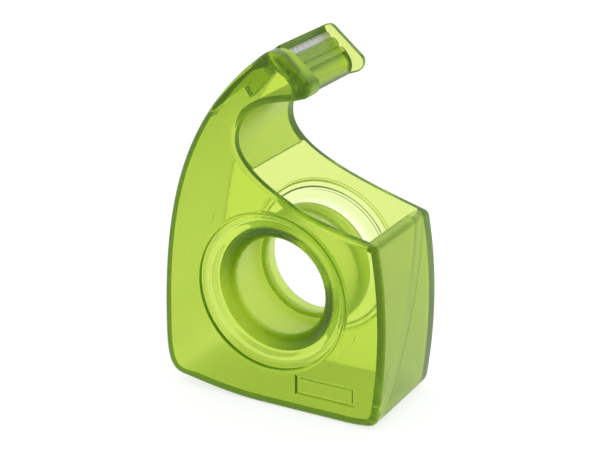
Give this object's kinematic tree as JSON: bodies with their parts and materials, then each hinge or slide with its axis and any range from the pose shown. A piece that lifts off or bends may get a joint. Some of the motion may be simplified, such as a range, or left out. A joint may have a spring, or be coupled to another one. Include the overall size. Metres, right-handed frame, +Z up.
{
  "type": "tape dispenser",
  "caption": "Hand-held tape dispenser in clear lime plastic: hollow snail-shaped body with a ringed finger hole, curved arm, toothed cutter and a pull-off side cover.",
  "frame": {"origin": "on the base, under the middle of the body's length and width", "axes": "+X towards the front wall and the mouth, +Y away from the removable cover, along the hub's axis, +Z up"},
  "size_m": [0.0488, 0.024, 0.0725],
  "materials": {
    "lime_shell": "clear lime moulded plastic, polished",
    "lime_clamp": "clear lime moulded plastic, polished",
    "cutter_steel": "thin cold-rolled steel strip"
  },
  "bodies": {
    "body": {"body_half": "lime_shell", "blade": "cutter_steel", "blade_clamp": "lime_clamp"},
    "cover": {"cover_half": "lime_shell"}
  },
  "joints": [
    {"name": "cover_pull", "type": "slide", "parent": "body", "child": "cover", "axis": [0, -1, 0], "range_m": [0, 0.03]}
  ]
}
